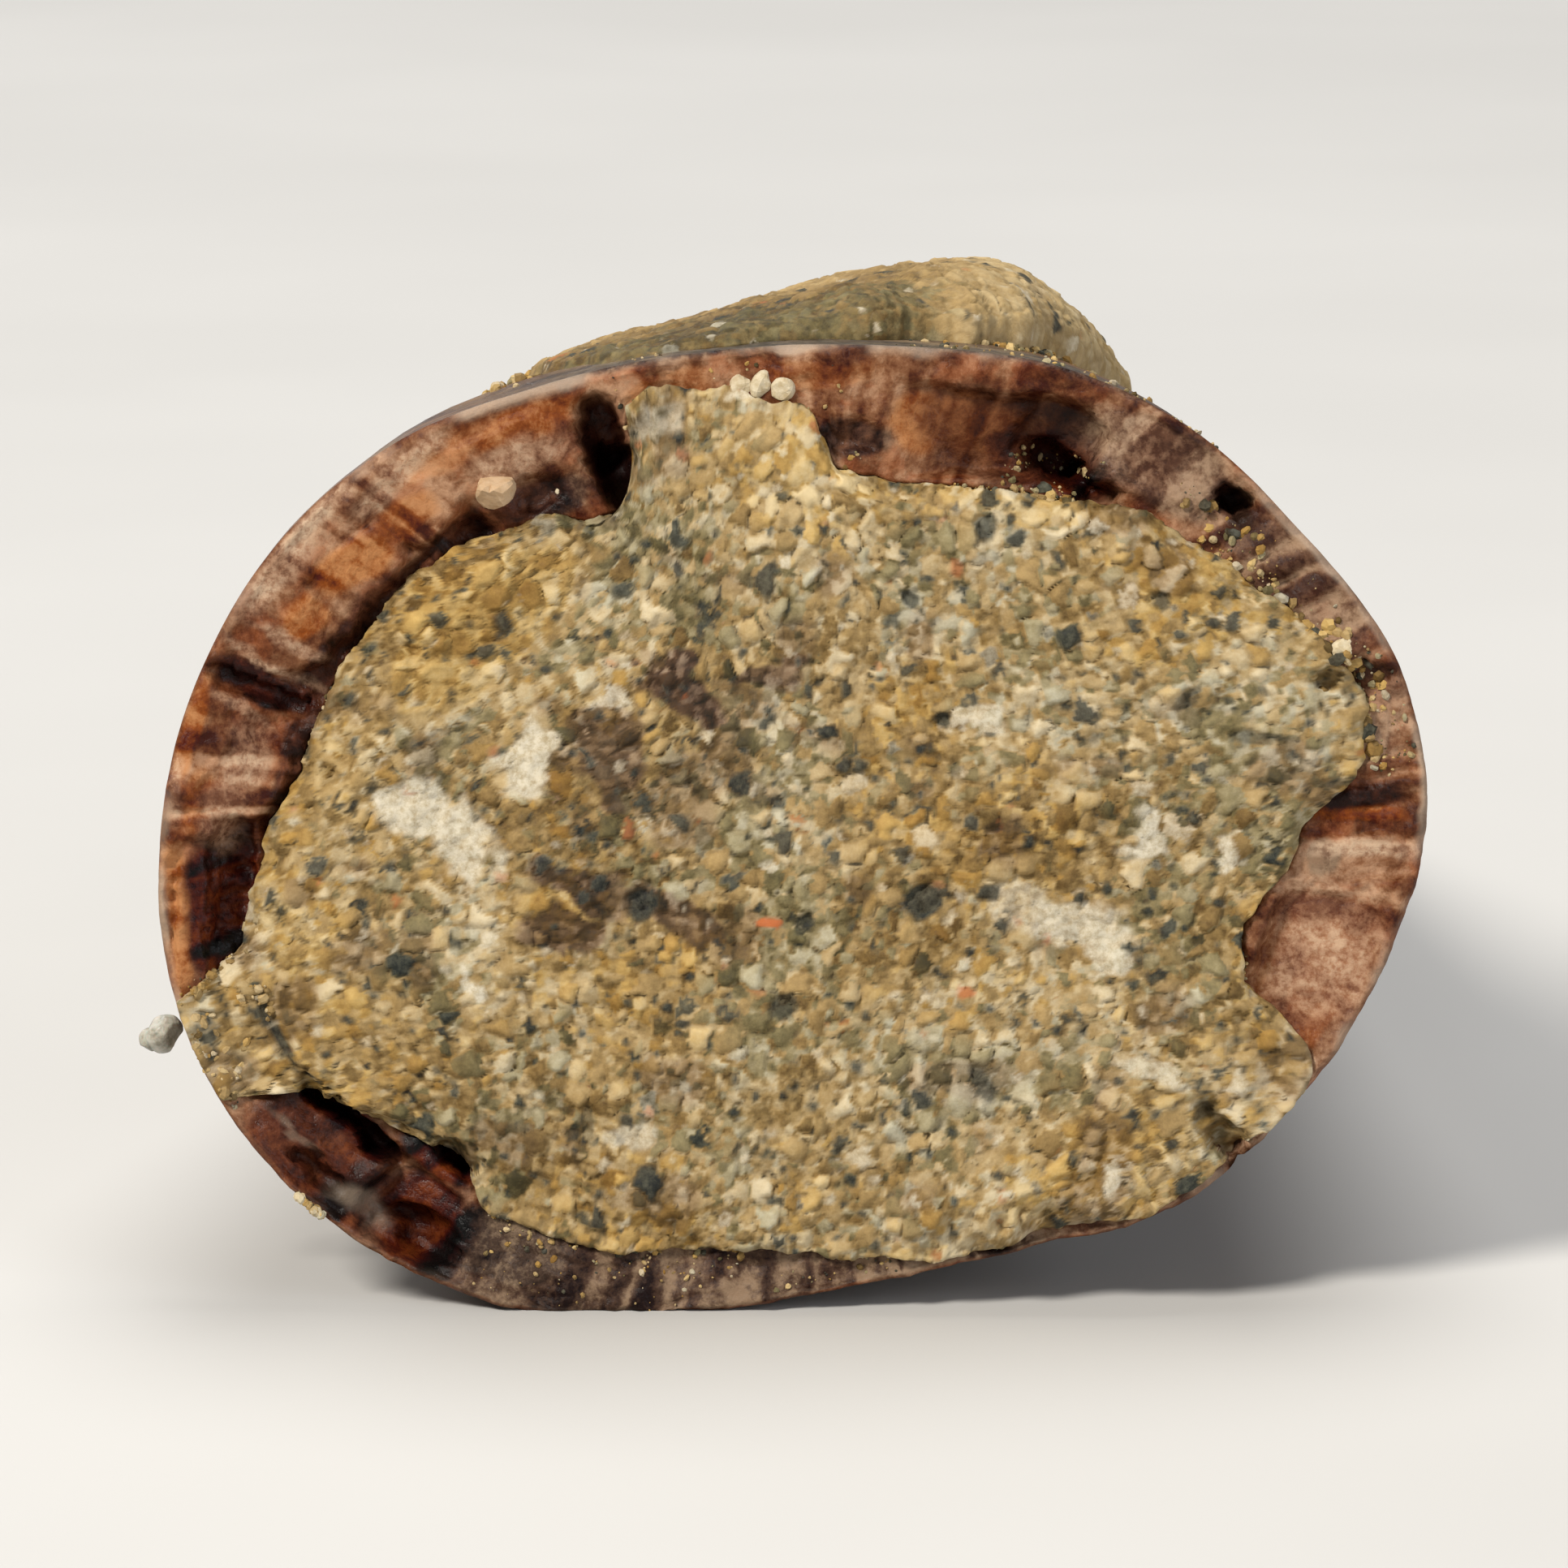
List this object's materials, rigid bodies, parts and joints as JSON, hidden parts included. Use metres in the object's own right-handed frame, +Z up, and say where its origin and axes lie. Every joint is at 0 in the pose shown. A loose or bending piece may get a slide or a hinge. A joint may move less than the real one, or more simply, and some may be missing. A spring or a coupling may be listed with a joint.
{
  "type": "fossil dinosaur tooth",
  "caption": "Curved, hollow, saw-edged fossil tooth crown lying on its side, its broken base open to show the sandstone that fills the pulp cavity.",
  "frame": {"origin": "centre of the footprint of the tooth as it lies, at the height of the surface that it lies on", "axes": "+Y from the broken base to the tip, +Z up, which is the outer side of the crown, +X the rear edge of the crown"},
  "size_m": [0.0185, 0.0382, 0.0143],
  "materials": {
    "tooth_crown": "fossil enamel and dentine, dark chocolate to reddish brown, glossy",
    "sandstone_plug": "rough yellow-tan sandstone with dark specks and white calcite",
    "sandstone_lump": "rough khaki-tan sandstone",
    "stuck_sand_grain": "pale quartz grain"
  },
  "bodies": {
    "root": {"tooth_crown": "tooth_crown", "sandstone_plug": "sandstone_plug", "sandstone_lump": "sandstone_lump", "stuck_sand_grain": "stuck_sand_grain"}
  },
  "joints": []
}
